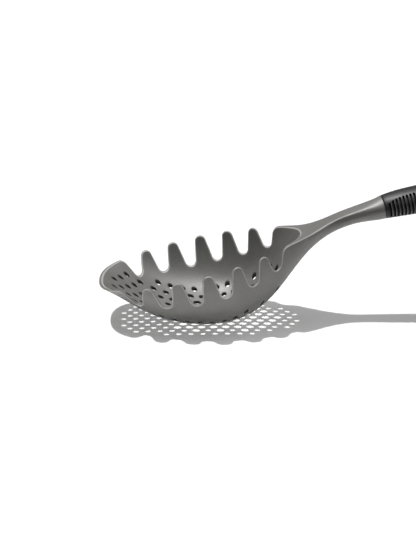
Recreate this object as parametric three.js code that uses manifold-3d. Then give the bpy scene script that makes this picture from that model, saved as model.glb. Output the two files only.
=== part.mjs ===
// Pasta scoop: a moulded bowl with teeth and drain holes, on a handle with a soft finned grip.
// Millimetres and degrees. The scoop is drawn level: x runs from the front lip to the end of the grip,
// y is sideways, z is the direction in which the mould opens, and the rim lies at z = 0 with x = 0 at
// the bowl's widest station. The finished scoop is then tipped to stand on its belly, grip end up.

import * as THREE from 'three';
import { mergeGeometries, mergeVertices } from 'three/addons/utils/BufferGeometryUtils.js';
import Module from 'manifold-3d';

// Pose: the scoop stands on a small flat under the bowl
const rimTilt = 13.5;           // rise of the rim and the grip towards the handle end
const restDepth = 0.3;          // depth of the flat that the belly stands on

// Bowl, outside
const lipReach = 52.2;          // widest station to the front lip
const rampAngle = 45;           // slope of the straight front ramp below the lip
const rampLength = 25;          // length of that straight stretch
const rampHandle = 25;          // how far the ramp's direction carries into the belly
const bellyFrontHandle = 5.5;   // level stretch of the belly towards the ramp
const bellyStation = 14.3;      // lowest point of the bowl, behind the widest station
const bowlDepth = 38;           // rim to that lowest point
const bellyRearHandle = 35;     // level stretch of the belly towards the neck
const halfWidth = 45.2;         // half the width over the tooth tips
const rimRound = 0.25;          // share of the even curve in the rim's outline, the rest closes late
const wallRound = 0.42;         // share of the even curve across the bowl, the rest turns up at the rim
const wallPower = 8;            // how late that rest turns up
const taperReach = 82;          // where the side walls would meet behind the widest station
const taperPower = 1.5;         // how late that taper closes

// Bowl, inside
const wall = 1.55;              // wall of the bowl
const sideSet = 1.4;            // how far the hollow's sides reach inside the outer ones
const cavityEnd = 62.5;         // widest station to the end of the hollow, at the rim
const cavityLead = 23;          // length over which the rear wall thickens into the neck

// Teeth: gaps of one pitch, cut through both side walls
const teethPerSide = 5;
const toothPitch = 16.7;        // along the rim
const middleTooth = 7.3;        // the middle tooth's place along the rim, behind the widest station
const toothTipRadius = 3.2;
const lipCornerRadius = 5;      // the lip's two corners
const lipCornerSet = 2;         // how much further than a tooth those corners stand from their gaps
const shoulderRadius = 5.5;     // the two corners behind the last gaps
const shoulderSet = 1.5;        // how much further than a tooth those corners stand from their gaps
const gapRadius = 3.3;          // bottom of a gap
const gapDepth = 15.7;          // rim to the bottom of the deepest gap
const gapRise = 4.6;            // how much shallower the first and last gaps are
const gapTurn = 0.5;            // share of the rim's own turn that the gaps follow

// Drain holes: staggered rows along the bowl, drilled in the mould's direction
const holePitch = 6.43;
const rowPitch = 5.66;
const largeHole = 4.1;          // diameters
const smallHole = 2.9;
const holeLead = 44.4;          // first hole of the middle row to the widest station
const holeRows = [              // holes of the rows from the middle outwards, and the large ones of them
  { first: 0, last: 14, largeFirst: 5, largeLast: 13, every: 1 },
  { first: 0, last: 14, largeFirst: 4, largeLast: 12, every: 1 },
  { first: 0, last: 14, largeFirst: 5, largeLast: 12, every: 1 },
  { first: 0, last: 13, largeFirst: 4, largeLast: 11, every: 1 },
  { first: 1, last: 12, largeFirst: 6, largeLast: 10, every: 2 },
  { first: 3, last: 10 },
];

// Neck: it leaves the bowl at the fork, narrows to a waist and swells to the collar at the grip
const forkStation = 62;
const forkLead = 4;             // how far before the fork the underside starts to round
const waistStation = 84;
const waistHalfWidth = 7.1;
const waistParting = 1.6;       // height of the widest line at the waist, above the rim
const waistTop = 4.1;           // height of the flat top at the waist
const waistSquareness = 6;      // how square the top is up to the waist
const neckFloorStation = 94.2;  // where the underside levels out
const neckFloor = -2.5;         // height of the underside there
const neckHandle = 38;          // level stretch of the underside towards the bowl
const collarStation = 110;
const collarHalfWidth = 8;
const collarTop = 8.6;          // heights of the collar's top and bottom above the rim
const collarBottom = -3.2;
const collarSquareness = 2;     // and at the collar, where it is round

// Tang behind the collar, in the core's socket
const tangLength = 46;
const tangRoot = 4;             // how far inside the collar it starts
const tangWidth = 7;
const tangThickness = 3.6;
const barbDepth = 1;
const barbPitch = 10;
const fitClearance = 0.3;       // gap between pieces that touch

// Core inside the grip
const coreFrontHalfWidth = 6.2;
const coreRearHalfWidth = 9;
const coreThickness = 7.4;
const sleeveWall = 2.2;         // least soft wall over the core
const eyeLining = 2;            // soft wall between the hang hole and the core's eye
const eyeRing = 3;              // the core's ring round its eye
const eyeLead = 32;             // length over which the core runs into that ring

// Soft grip
const gripLength = 165;
const gripWidest = 95;          // collar to the widest station
const gripHalfWidth = 13.2;
const gripSideStart = 1.8;      // how much faster than evenly the grip widens behind the collar
const gripTop = 9.5;            // heights of the widest station's top and bottom above the rim
const gripBottom = -8.6;
const gripUnderStart = 1.5;     // how much faster than evenly it deepens there
const gripShoulder = 12;        // length over which the grip swells behind the collar
const gripShoulderRise = 0.9;
const gripEndHalfWidth = 12.4;
const gripEndDrop = 0.6;        // how far the top falls and the bottom rises towards the end
const gripEndRound = 20;        // length of the rounded end
const hangHole = 11;            // diameter
const hangInset = 18;           // end of the grip to the middle of the hang hole

// Fins: slots across the sides of the grip, inside an oval panel that wraps its section
const finPitch = 2.15;
const slotWidth = 1.15;
const slotDepth = 1.5;
const panelFront = 3;           // collar to the front of the panel
const panelLength = 42;
const panelPower = 2.2;         // fullness of the oval's ends
const panelRise = [20, 52];     // how far the slots go up the section at the panel's ends and middle
const panelFall = [38, 74];     // and how far down

// Facets and steps
const bowlStations = 16;
const neckStations = 10;
const underFacets = 16;
const topFacets = 6;
const hollowStations = 16;
const hollowFacets = 14;
const gapFacets = 5;            // on each round of a gap
const largeHoleSides = 8;
const smallHoleSides = 6;
const eyeFacets = 8;
const coreStations = 3;
const coreFacets = 12;
const slotFacets = 3;
const gripStations = 10;
const gripEndStations = 7;
const gripFacets = 18;
const hangFacets = 18;
const curveSteps = 400;
const traceStep = 0.1;          // for walking along a curve
const slopeStep = 0.5;          // on both sides of a point, for its slope

const wasm = await Module();
wasm.setup();

const degrees = Math.PI / 180;
const clamp01 = (value) => Math.min(1, Math.max(0, value));
const ease = (from, to, x) => THREE.MathUtils.smoothstep(x, from, to);

// Geometry helpers

// A closed body from a geometry: shared corners merged and collapsed triangles dropped
function solid(geometry) {
  const plain = geometry.clone();
  for (const name of Object.keys(plain.attributes)) {
    if (name !== 'position') plain.deleteAttribute(name);
  }
  const merged = mergeVertices(plain, 1e-4);
  const corners = merged.index.array;
  const triangles = [];
  for (let i = 0; i < corners.length; i += 3) {
    const [a, b, c] = [corners[i], corners[i + 1], corners[i + 2]];
    if (a !== b && b !== c && c !== a) triangles.push(a, b, c);
  }
  return new wasm.Manifold(new wasm.Mesh({
    numProp: 3,
    vertProperties: new Float32Array(merged.attributes.position.array),
    triVerts: new Uint32Array(triangles),
  }));
}

// A mesh from a closed body
function piece(name, body, color, roughness) {
  const { vertProperties, triVerts, numProp } = body.getMesh();
  const geometry = new THREE.BufferGeometry();
  const places = new Float32Array((vertProperties.length / numProp) * 3);
  for (let i = 0; i < places.length / 3; i += 1) {
    for (let axis = 0; axis < 3; axis += 1) places[i * 3 + axis] = vertProperties[i * numProp + axis];
  }
  geometry.setAttribute('position', new THREE.BufferAttribute(places, 3));
  geometry.setIndex(new THREE.BufferAttribute(new Uint32Array(triVerts), 1));
  geometry.computeVertexNormals();
  const mesh = new THREE.Mesh(
    geometry,
    new THREE.MeshStandardMaterial({ color, roughness, metalness: 0 }),
  );
  mesh.name = name;
  return mesh;
}

// A skin through rings of equally many points, its two ends closed by fans
function loft(rings) {
  const count = rings[0].length;
  const places = rings.flat().flatMap((p) => [p.x, p.y, p.z]);
  const index = [];
  for (let i = 0; i + 1 < rings.length; i += 1) {
    for (let k = 0; k < count; k += 1) {
      const next = (k + 1) % count;
      const [a, b] = [i * count + k, i * count + next];
      index.push(a, a + count, b, b, a + count, b + count);
    }
  }
  const lastStart = (rings.length - 1) * count;
  for (const [ring, start, last] of [[rings[0], 0, false], [rings.at(-1), lastStart, true]]) {
    const middle = ring.reduce((sum, p) => sum.add(p), new THREE.Vector3()).divideScalar(count);
    const centre = places.length / 3;
    places.push(middle.x, middle.y, middle.z);
    for (let k = 0; k < count; k += 1) {
      const [a, b] = [start + k, start + ((k + 1) % count)];
      index.push(centre, last ? b : a, last ? a : b);
    }
  }
  const geometry = new THREE.BufferGeometry();
  geometry.setAttribute('position', new THREE.Float32BufferAttribute(places, 3));
  geometry.setIndex(index);
  return geometry;
}

// Stations from start to end, closer together at the ends that come to a point
function stations(start, end, count, pointedStart, pointedEnd) {
  return Array.from({ length: count + 1 }, (_, i) => {
    const t = i / count;
    const early = pointedStart ? t * t : t;
    const late = pointedEnd ? 1 - (1 - t) ** 2 : t;
    return THREE.MathUtils.lerp(start, end, THREE.MathUtils.lerp(early, late, t));
  });
}

// Smooth curve from one value and slope to another
function hermite(x, x0, value0, slope0, x1, value1, slope1) {
  const length = x1 - x0;
  const t = (x - x0) / length;
  const rest = 1 - t;
  return value0 * (1 + 2 * t) * rest * rest + slope0 * length * t * rest * rest
    + value1 * (3 - 2 * t) * t * t - slope1 * length * t * t * rest;
}

// Bowl surfaces

// The outer floor along the middle: ramp, belly, underside of the neck
function floorProfile() {
  const down = new THREE.Vector2(Math.cos(rampAngle * degrees), -Math.sin(rampAngle * degrees));
  const lip = new THREE.Vector2(-lipReach, 0);
  const rampEnd = lip.clone().addScaledVector(down, rampLength);
  const belly = new THREE.Vector2(bellyStation, -bowlDepth);
  const neck = new THREE.Vector2(neckFloorStation, neckFloor);
  const level = new THREE.Vector2(1, 0);
  const path = new THREE.CurvePath();
  path.add(new THREE.LineCurve(lip.clone().addScaledVector(down, -lipReach), rampEnd));
  path.add(new THREE.CubicBezierCurve(
    rampEnd,
    rampEnd.clone().addScaledVector(down, rampHandle),
    belly.clone().addScaledVector(level, -bellyFrontHandle),
    belly,
  ));
  path.add(new THREE.CubicBezierCurve(
    belly,
    belly.clone().addScaledVector(level, bellyRearHandle),
    neck.clone().addScaledVector(level, -neckHandle),
    neck,
  ));
  return path.curves.flatMap((curve) => curve.getPoints(curveSteps));
}

const profile = floorProfile();

function floorAt(x) {
  const after = profile.findIndex((point) => point.x >= x);
  if (after < 0) return profile.at(-1).y;
  const [p, q] = [profile[Math.max(after - 1, 0)], profile[after]];
  return q.x > p.x ? THREE.MathUtils.lerp(p.y, q.y, (x - p.x) / (q.x - p.x)) : q.y;
}

const slopeOf = (curve, x) => (curve(x + slopeStep) - curve(x - slopeStep)) / (2 * slopeStep);
const sideHeight = -floorAt(0);

// Half the width at which the rim lies sideHeight above the floor
const sideReach = (x) => halfWidth * (1 - clamp01(x / taperReach) ** taperPower) ** (1 / taperPower);

// Half the width at which the rim's outline has closed in on a floor that lies some climb below it
function widthAtClimb(reach, climb) {
  const share = Math.max(climb, 0) / sideHeight;
  const even = rimRound;
  const late = 1 - rimRound;
  return reach * Math.sqrt((Math.sqrt(even ** 2 + 4 * late * share) - even) / (2 * late));
}

// Share of the wall's climb at a share of its half width; across is that half width over its reach
function wallClimb(share, across) {
  const curve = (u) => wallRound * u ** 2 + (1 - wallRound) * u ** wallPower;
  return across > 0 ? curve(across * share) / curve(across) : share ** 2;
}

const rimHalfWidth = (x) => widthAtClimb(sideReach(x), -floorAt(x));

// The hollow's floor keeps the wall's thickness, then climbs to the rim at its rear end
const wallOver = (x) => wall * Math.hypot(1, slopeOf(floorAt, x));
const cavityGap = -(floorAt(cavityEnd) + wallOver(cavityEnd));

function cavityFloor(x) {
  const lead = Math.max(0, (x - cavityEnd + cavityLead) / cavityLead);
  return floorAt(x) + wallOver(x) + cavityGap * lead ** 2;
}

const cavityReach = (x) => sideReach(x) - sideSet;

// Neck sections: widest line, height of the top over it and depth of the underside below it
function neckSection(x) {
  const fork = rimHalfWidth(forkStation);
  const forkSlope = slopeOf(rimHalfWidth, forkStation);
  const collarMiddle = (collarTop + collarBottom) / 2;
  const rise = collarMiddle / (collarStation - forkStation);
  const topRise = collarTop / (collarStation - forkStation);
  const front = x < waistStation;
  const halfAcross = front
    ? hermite(x, forkStation, fork, forkSlope, waistStation, waistHalfWidth, 0)
    : hermite(x, waistStation, waistHalfWidth, 0, collarStation, collarHalfWidth, 0);
  const parting = front
    ? hermite(x, forkStation, 0, 0, waistStation, waistParting, rise)
    : hermite(x, waistStation, waistParting, rise, collarStation, collarMiddle, 0);
  const top = front
    ? hermite(x, forkStation, 0, 0, waistStation, waistTop, topRise)
    : hermite(x, waistStation, waistTop, topRise, collarStation, collarTop, topRise);
  const bottom = x < neckFloorStation
    ? floorAt(x)
    : hermite(x, neckFloorStation, neckFloor, 0, collarStation, collarBottom, 0);
  return { halfAcross, parting, top, bottom };
}

// One closed ring across the scoop: the underside from side to side, then the top back again
function outerRing(x, underCount, topCount) {
  const onNeck = x > forkStation;
  const { halfAcross, parting, top, bottom } = onNeck
    ? neckSection(x)
    : { halfAcross: rimHalfWidth(x), parting: 0, top: 0, bottom: floorAt(x) };
  const round = ease(forkStation - forkLead, waistStation, x);
  const nearCollar = ease(waistStation, collarStation, x);
  const corner = THREE.MathUtils.lerp(waistSquareness, collarSquareness, nearCollar);
  const across = halfAcross / sideReach(Math.min(x, forkStation));
  const ring = [];
  for (let k = 0; k <= underCount; k += 1) {
    const angle = Math.PI * (0.5 - k / underCount);
    const s = Math.sin(angle);
    const flared = wallClimb(s, across);
    const oval = 1 - Math.abs(Math.cos(angle));
    const climb = THREE.MathUtils.lerp(flared, oval, round);
    ring.push(new THREE.Vector3(x, halfAcross * s, THREE.MathUtils.lerp(bottom, parting, climb)));
  }
  for (let k = 1; k < topCount; k += 1) {
    const angle = Math.PI * (k / topCount - 0.5);
    const s = Math.sin(angle);
    const crown = (1 - Math.abs(s) ** corner) ** (1 / corner);
    ring.push(new THREE.Vector3(x, halfAcross * s, parting + (top - parting) * crown));
  }
  return ring;
}

function outerBody() {
  const bowl = stations(-lipReach, forkStation, bowlStations, true, false);
  const neck = stations(forkStation, collarStation, neckStations, false, false).slice(1);
  return solid(loft([...bowl, ...neck].map((x) => outerRing(x, underFacets, topFacets))));
}

function hollow() {
  const above = wall;
  const reachesRim = (from, step) => {
    let x = from;
    while (cavityFloor(x) < above) x += step;
    return x;
  };
  const front = reachesRim(-lipReach + 2 * wall, -traceStep);
  const rear = reachesRim(cavityEnd - wall, traceStep);
  const rings = stations(front, rear, hollowStations, true, true).map((x) => {
    const bottom = cavityFloor(x);
    const half = widthAtClimb(cavityReach(x), above - bottom);
    const ring = [];
    for (let k = 0; k <= hollowFacets; k += 1) {
      const share = Math.sin(Math.PI * (0.5 - k / hollowFacets));
      const climb = wallClimb(share, half / cavityReach(x));
      ring.push(new THREE.Vector3(x, half * share, THREE.MathUtils.lerp(bottom, above, climb)));
    }
    ring.push(new THREE.Vector3(x, 0, above));
    return ring;
  });
  return solid(loft(rings));
}

// Teeth

// Place on the rim at a length along it from the widest station
function rimPlace(length) {
  const step = Math.sign(length) * traceStep;
  let x = 0;
  let travelled = 0;
  while (travelled < Math.abs(length)) {
    travelled += Math.hypot(step, rimHalfWidth(x + step) - rimHalfWidth(x));
    x += step;
  }
  return x;
}

// The tips that gaps run between: how far from the middle of the gap, and how round
const toothTip = { away: toothPitch / 2, radius: toothTipRadius };
const lipTip = { away: toothPitch / 2 + lipCornerSet, radius: lipCornerRadius };
const shoulderTip = { away: toothPitch / 2 + shoulderSet, radius: shoulderRadius };

// Slope of the flank that touches both a tip and the round bottom of its gap
function flankAngle(tip, depth) {
  const span = new THREE.Vector2(tip.away, depth - gapRadius - tip.radius);
  return span.angle() + Math.asin((tip.radius + gapRadius) / span.length());
}

// A gap between two round tips, drawn with the rim at zero
function gapShape(depth, left, right) {
  const quarter = Math.PI / 2;
  const leftFlank = flankAngle(left, depth);
  const rightFlank = flankAngle(right, depth);
  const shape = new THREE.Shape();
  shape.moveTo(-left.away, gapRadius);
  shape.absarc(-left.away, -left.radius, left.radius, quarter, quarter - leftFlank, true);
  shape.absarc(0, gapRadius - depth, gapRadius, 3 * quarter - leftFlank, rightFlank - quarter, false);
  shape.absarc(right.away, -right.radius, right.radius, quarter + rightFlank, quarter, true);
  shape.lineTo(right.away, gapRadius);
  return shape;
}

function gapCutters() {
  const inside = gapDepth;
  const outside = gapDepth / 2;
  const cutters = [];
  for (let k = 0; k <= teethPerSide; k += 1) {
    const fromMiddle = k - teethPerSide / 2;
    const x = rimPlace(middleTooth + fromMiddle * toothPitch);
    const depth = gapDepth - gapRise * (fromMiddle / (teethPerSide / 2)) ** 2;
    const turn = gapTurn * Math.atan(slopeOf(rimHalfWidth, x));
    const front = k === 0 ? lipTip : toothTip;
    const rear = k === teethPerSide ? shoulderTip : toothTip;
    for (const side of [1, -1]) {
      const shape = side > 0 ? gapShape(depth, rear, front) : gapShape(depth, front, rear);
      const along = new THREE.Vector3(-side * Math.cos(turn), -Math.sin(turn), 0);
      const up = new THREE.Vector3(0, 0, 1);
      const out = along.clone().cross(up);
      const start = new THREE.Vector3(x, side * rimHalfWidth(x), 0).addScaledVector(out, -inside);
      const place = new THREE.Matrix4().makeBasis(along, up, out).setPosition(start);
      cutters.push(solid(new THREE.ExtrudeGeometry(shape, {
        depth: inside + outside, bevelEnabled: false, curveSegments: gapFacets,
      }).applyMatrix4(place)));
    }
  }
  return cutters;
}

// Drain holes

function holeList() {
  const holes = [];
  const outermost = holeRows.length - 1;
  for (let row = -outermost; row <= outermost; row += 1) {
    const { first, last, largeFirst, largeLast, every } = holeRows[Math.abs(row)];
    const stagger = (Math.abs(row) % 2) / 2;
    for (let i = first; i <= last; i += 1) {
      const large = i >= largeFirst && i <= largeLast && (i - largeFirst) % every === 0;
      holes.push({
        x: (i + stagger) * holePitch - holeLead,
        y: row * rowPitch,
        diameter: large ? largeHole : smallHole,
        sides: large ? largeHoleSides : smallHoleSides,
      });
    }
  }
  return holes;
}

function holeCutter() {
  const below = bowlDepth + wall;
  const drills = holeList().map(({ x, y, diameter, sides }) => (
    new THREE.CylinderGeometry(diameter / 2, diameter / 2, below, sides)
      .rotateX(Math.PI / 2)
      .translate(x, y, -below / 2)
  ));
  return solid(mergeGeometries(drills));
}

// Resting flat

const tilt = rimTilt * degrees;
const heightWhenTipped = (x, z) => x * Math.sin(tilt) + z * Math.cos(tilt);
const lowest = Math.min(...profile.map((point) => heightWhenTipped(point.x, point.y)));
const restHeight = lowest + restDepth;

function restCutter() {
  const size = 2 * bowlDepth;
  const box = new THREE.BoxGeometry(size, size, size).translate(0, 0, restHeight - size / 2);
  return solid(box.rotateY(tilt));
}

// Tang, and the socket that takes it

const handleAxis = (collarTop + collarBottom) / 2;

// Flat bar from the collar, with notches on both edges
function tangOutline(gap) {
  const half = tangWidth / 2 + gap;
  const end = collarStation + tangLength + gap;
  const start = collarStation - tangRoot;
  const edge = [];
  if (gap === 0) {
    for (let x = collarStation + barbPitch; x < end - barbPitch; x += barbPitch) {
      edge.push([x, half], [x, half - barbDepth], [x + barbPitch / 2, half]);
    }
  }
  const upper = [[start, half], ...edge, [end - half / 2, half], [end, half / 2]];
  const lower = upper.map(([x, y]) => [x, -y]).reverse();
  return new THREE.Shape([...upper, ...lower].map(([x, y]) => new THREE.Vector2(x, y)));
}

function tangBody(gap) {
  const thickness = tangThickness + 2 * gap;
  return solid(new THREE.ExtrudeGeometry(tangOutline(gap), { depth: thickness, bevelEnabled: false })
    .translate(0, 0, handleAxis - thickness / 2));
}

// Core

const gripStart = collarStation + fitClearance;
const gripEnd = gripStart + gripLength;
const hangStation = gripEnd - hangInset;
const eyeRadius = hangHole / 2 + eyeLining;

// Plate with a round eye at its end, kept inside the soft wall; a gap makes the hollow that holds it
function coreBody(gap) {
  const front = gap > 0 ? gripStart - 2 * fitClearance : gripStart;
  const endRadius = eyeRadius + eyeRing + gap;
  const shape = new THREE.Shape();
  shape.moveTo(front, -coreFrontHalfWidth - gap);
  shape.lineTo(hangStation - eyeLead, -coreRearHalfWidth - gap);
  shape.absarc(hangStation, 0, endRadius, -Math.PI / 2, Math.PI / 2, false);
  shape.lineTo(hangStation - eyeLead, coreRearHalfWidth + gap);
  shape.lineTo(front, coreFrontHalfWidth + gap);
  const eye = new THREE.Path();
  eye.absarc(hangStation, 0, eyeRadius - gap, 0, Math.PI * 2, true);
  shape.holes.push(eye);
  const thickness = coreThickness + 2 * gap;
  const { top, bottom } = gripSection(hangStation);
  const drop = Math.atan2(handleAxis - (top + bottom) / 2, hangStation - gripStart);
  const plate = solid(new THREE.ExtrudeGeometry(shape, {
    depth: thickness, bevelEnabled: false, curveSegments: eyeFacets,
  }).translate(-gripStart, 0, -thickness / 2).rotateY(drop).translate(gripStart, 0, handleAxis));
  const straight = stations(front - sleeveWall, gripEnd - gripEndRound, coreStations, false, false);
  const lining = [...straight, hangStation + endRadius + sleeveWall];
  return plate.intersect(solid(loft(lining.map((x) => gripRing(x, coreFacets, sleeveWall - gap)))));
}

// Soft grip

function gripSection(x) {
  const along = Math.max(0, x - gripStart);
  const swell = clamp01(along / gripShoulder);
  const shoulder = gripShoulderRise * swell * (2 - swell);
  const front = along < gripWidest;
  const [from, to] = front ? [0, gripWidest] : [gripWidest, gripLength];
  const grow = (start, end, startSlope) => hermite(along, from, start, startSlope, to, end, 0);
  const opening = (gripHalfWidth - collarHalfWidth) / gripWidest;
  const deepening = (gripBottom - collarBottom) / gripWidest;
  const halfAcross = front
    ? grow(collarHalfWidth, gripHalfWidth - gripShoulderRise, gripSideStart * opening) + shoulder
    : grow(gripHalfWidth, gripEndHalfWidth, 0);
  const top = front
    ? grow(collarTop, gripTop - gripShoulderRise, 0) + shoulder
    : grow(gripTop, gripTop - gripEndDrop, 0);
  const bottom = front
    ? grow(collarBottom, gripBottom, gripUnderStart * deepening)
    : grow(gripBottom, gripBottom + gripEndDrop, 0);
  const past = clamp01((along - gripLength + gripEndRound) / gripEndRound);
  return { halfAcross, top, bottom, close: Math.sqrt(Math.max(0, 1 - past ** 2)) };
}

function gripRing(x, count, inset) {
  const { halfAcross, top, bottom, close } = gripSection(x);
  const middle = (top + bottom) / 2;
  return Array.from({ length: count }, (_, k) => {
    const angle = Math.PI / 2 - (k / count) * Math.PI * 2;
    return new THREE.Vector3(
      x,
      (halfAcross * close - inset) * Math.sin(angle),
      middle - (((top - bottom) / 2) * close - inset) * Math.cos(angle),
    );
  });
}

function gripBody() {
  const straight = stations(gripStart, gripEnd - gripEndRound, gripStations, false, false);
  const end = stations(gripEnd - gripEndRound, gripEnd, gripEndStations, false, true).slice(1);
  return solid(loft([...straight, ...end].map((x) => gripRing(x, gripFacets, 0))));
}

// A slot follows the section, from inside the surface to outside it
function slotCutter(x, side, rise, fall) {
  const { halfAcross, top, bottom } = gripSection(x);
  const band = (offset) => Array.from({ length: slotFacets + 1 }, (_, i) => {
    const angle = THREE.MathUtils.lerp(-fall, rise, i / slotFacets) * degrees;
    return new THREE.Vector2(
      side * (halfAcross + offset) * Math.cos(angle),
      (top + bottom) / 2 + ((top - bottom) / 2 + offset) * Math.sin(angle),
    );
  });
  const shape = new THREE.Shape([...band(slotDepth), ...band(-slotDepth).reverse()]);
  return new THREE.ExtrudeGeometry(shape, { depth: slotWidth, bevelEnabled: false })
    .rotateX(Math.PI / 2)
    .rotateZ(Math.PI / 2)
    .translate(x - slotWidth / 2, 0, 0);
}

// Slots of the fin panels on both sides
function slotCutters() {
  const count = Math.floor(panelLength / finPitch);
  const panelMiddle = gripStart + panelFront + panelLength / 2;
  const slots = Array.from({ length: count }, (_, k) => {
    const x = panelMiddle + (k - (count - 1) / 2) * finPitch;
    const place = Math.abs(x - panelMiddle) / (panelLength / 2);
    const oval = (1 - place ** panelPower) ** (1 / panelPower);
    const rise = THREE.MathUtils.lerp(...panelRise, oval);
    const fall = THREE.MathUtils.lerp(...panelFall, oval);
    return [1, -1].map((side) => slotCutter(x, side, rise, fall));
  });
  return solid(mergeGeometries(slots.flat()));
}

function hangCutter() {
  const height = 4 * gripHalfWidth;
  return solid(new THREE.CylinderGeometry(hangHole / 2, hangHole / 2, height, hangFacets)
    .rotateX(Math.PI / 2)
    .translate(hangStation, 0, handleAxis));
}

// Assembly

let head = outerBody().subtract(hollow());
for (const cutter of gapCutters()) head = head.subtract(cutter);
head = head.subtract(holeCutter()).subtract(restCutter()).add(tangBody(0));

const core = coreBody(0).subtract(tangBody(fitClearance));
const grip = gripBody().subtract(coreBody(fitClearance)).subtract(slotCutters()).subtract(hangCutter());

const scoop = new THREE.Group();
scoop.add(
  piece('scoop_head', head, 0x6b6a66, 0.55),
  piece('handle_core', core, 0x2b2b2c, 0.6),
  piece('soft_grip', grip, 0x1b1b1c, 0.7),
);

// Tip the scoop onto its belly, with the origin on the land between the two middle holes
const landHole = Math.floor(holeLead / holePitch) + 1;
const landStation = (landHole + 0.5) * holePitch - holeLead;
const landHeight = (restHeight - landStation * Math.sin(tilt)) / Math.cos(tilt);
scoop.rotation.y = -tilt;
scoop.position.set(
  landHeight * Math.sin(tilt) - landStation * Math.cos(tilt),
  0,
  -restHeight,
);

export default scoop;
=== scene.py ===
import math
import bmesh
import bpy
import numpy as np
from mathutils import Matrix, Vector
from mathutils.geometry import delaunay_2d_cdt


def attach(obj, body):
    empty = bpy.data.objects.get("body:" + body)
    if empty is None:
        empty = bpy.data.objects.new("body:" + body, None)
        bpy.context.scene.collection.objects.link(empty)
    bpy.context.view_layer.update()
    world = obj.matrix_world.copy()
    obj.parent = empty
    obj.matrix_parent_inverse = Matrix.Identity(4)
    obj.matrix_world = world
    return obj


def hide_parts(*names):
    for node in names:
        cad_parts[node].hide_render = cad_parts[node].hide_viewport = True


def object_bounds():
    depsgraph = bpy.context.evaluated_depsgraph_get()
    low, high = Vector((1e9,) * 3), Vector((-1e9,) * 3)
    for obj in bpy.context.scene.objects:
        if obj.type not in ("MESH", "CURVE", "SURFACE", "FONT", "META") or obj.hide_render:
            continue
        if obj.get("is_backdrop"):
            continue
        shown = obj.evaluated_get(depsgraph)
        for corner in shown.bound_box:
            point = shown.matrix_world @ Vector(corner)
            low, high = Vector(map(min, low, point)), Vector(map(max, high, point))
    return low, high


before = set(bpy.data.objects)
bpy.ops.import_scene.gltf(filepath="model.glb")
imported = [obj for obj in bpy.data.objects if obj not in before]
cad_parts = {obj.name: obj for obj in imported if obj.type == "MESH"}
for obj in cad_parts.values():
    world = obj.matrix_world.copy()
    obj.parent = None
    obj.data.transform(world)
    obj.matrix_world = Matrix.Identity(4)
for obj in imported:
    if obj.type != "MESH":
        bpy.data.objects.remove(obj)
cadBox = [list(corner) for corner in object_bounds()]
print("frame loaded:", ", ".join(sorted(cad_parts)))

# The scoop is drawn level in millimetres: x from lip to grip, y sideways, z the way the mould opens,
# rim at z = 0. stand turns it onto its belly and into metres.
pose = {
    "rimTilt": 13.5,
    "restDepth": 0.3,          # depth of the flat that it stands on
    "landHole": 7.5,           # holes from a middle row's first to the land at the origin
}

bowl = {
    "lipReach": 52.2,          # widest station to the lip
    "rampAngle": 45,
    "rampLength": 25,
    "rampHandle": 25,
    "bellyFrontHandle": 5.5,
    "bellyStation": 14.3,
    "depth": 38,
    "bellyRearHandle": 35,
    "halfWidth": 45.2,
    "rimRound": 0.25,          # share of the even curve in the rim's outline
    "wallRound": 0.42,         # and across the bowl, where the rest turns up at the rim
    "wallPower": 8,
    "taperReach": 82,
    "taperPower": 1.5,
    "wall": 1.55,
    "sideSet": 1.4,
    "cavityEnd": 62.5,
    "cavityLead": 23,
    "edgeRound": 0.75,         # rounding of rim, teeth and gaps
    "edgeSteps": 6,
    "lineSteps": 400,          # points on a curve of the floor or rim
    "mesh": 1.35,              # size of the surface's triangles
    "meshMargin": 0.55,        # their least distance from an edge, in sizes
    "shoulderGrid": (30, 40),  # first station and half width of the points on the shoulders
}

teeth = {
    "perSide": 5,
    "pitch": 16.7,
    "middle": 7.3,             # middle tooth's place along the rim
    "tipRadius": 3.2,
    "lipCornerRadius": 5,
    "lipCornerSet": 2,
    "shoulderRadius": 5.5,
    "shoulderSet": 1.5,
    "gapRadius": 3.3,
    "gapDepth": 15.7,
    "gapRise": 4.6,
    "gapTurn": 0.5,            # share of the rim's turn that the cuts follow
    "step": 0.8,               # between points of the edge
    "turnPoints": 8,           # points behind the shoulder in which the cut turns to the rim
    "reach": 30,               # farthest from the rim that a cut meets the wall
    "steepest": 50,            # slope that the rim is given at the lip
}

neck = {
    "fork": 62,
    "forkLead": 4,
    "topStart": 64,            # where the neck's own rows begin on top
    "waist": 84,
    "waistHalfWidth": 7.1,
    "waistParting": 1.6,
    "waistTop": 4.1,
    "waistSquareness": 6,
    "floorStation": 94.2,
    "floor": -2.5,
    "floorHandle": 38,
    "collar": 110,
    "collarHalfWidth": 8,
    "collarTop": 9.15,
    "collarBottom": -3.75,
    "collarSlope": 1.8,        # the top's rise at the collar, in mean rises
    "collarSquareness": 2,
    "collarRound": 0.35,       # rounding of the collar's rear edge
    "topColumns": 16,
    "underColumns": 24,
}
handleAxis = (neck["collarTop"] + neck["collarBottom"]) / 2
flip = np.array([1, -1, 1])


# curves and blends
def lerp(a, b, t):
    return a + (b - a) * t


def ease(start, end, x):
    t = np.clip((x - start) / (end - start), 0, 1)
    return t * t * (3 - 2 * t)


def hermite(x, x0, value0, slope0, x1, value1, slope1):
    length = x1 - x0
    t = (x - x0) / length
    rest = 1 - t
    return (value0 * (1 + 2 * t) * rest**2 + slope0 * length * t * rest**2
            + value1 * (3 - 2 * t) * t**2 - slope1 * length * t**2 * rest)


def bezier(a, b, c, d):
    t = np.linspace(0, 1, bowl["lineSteps"])[:, None]
    return (1 - t)**3 * a + 3 * t * (1 - t)**2 * b + 3 * t**2 * (1 - t) * c + t**3 * d


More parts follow.
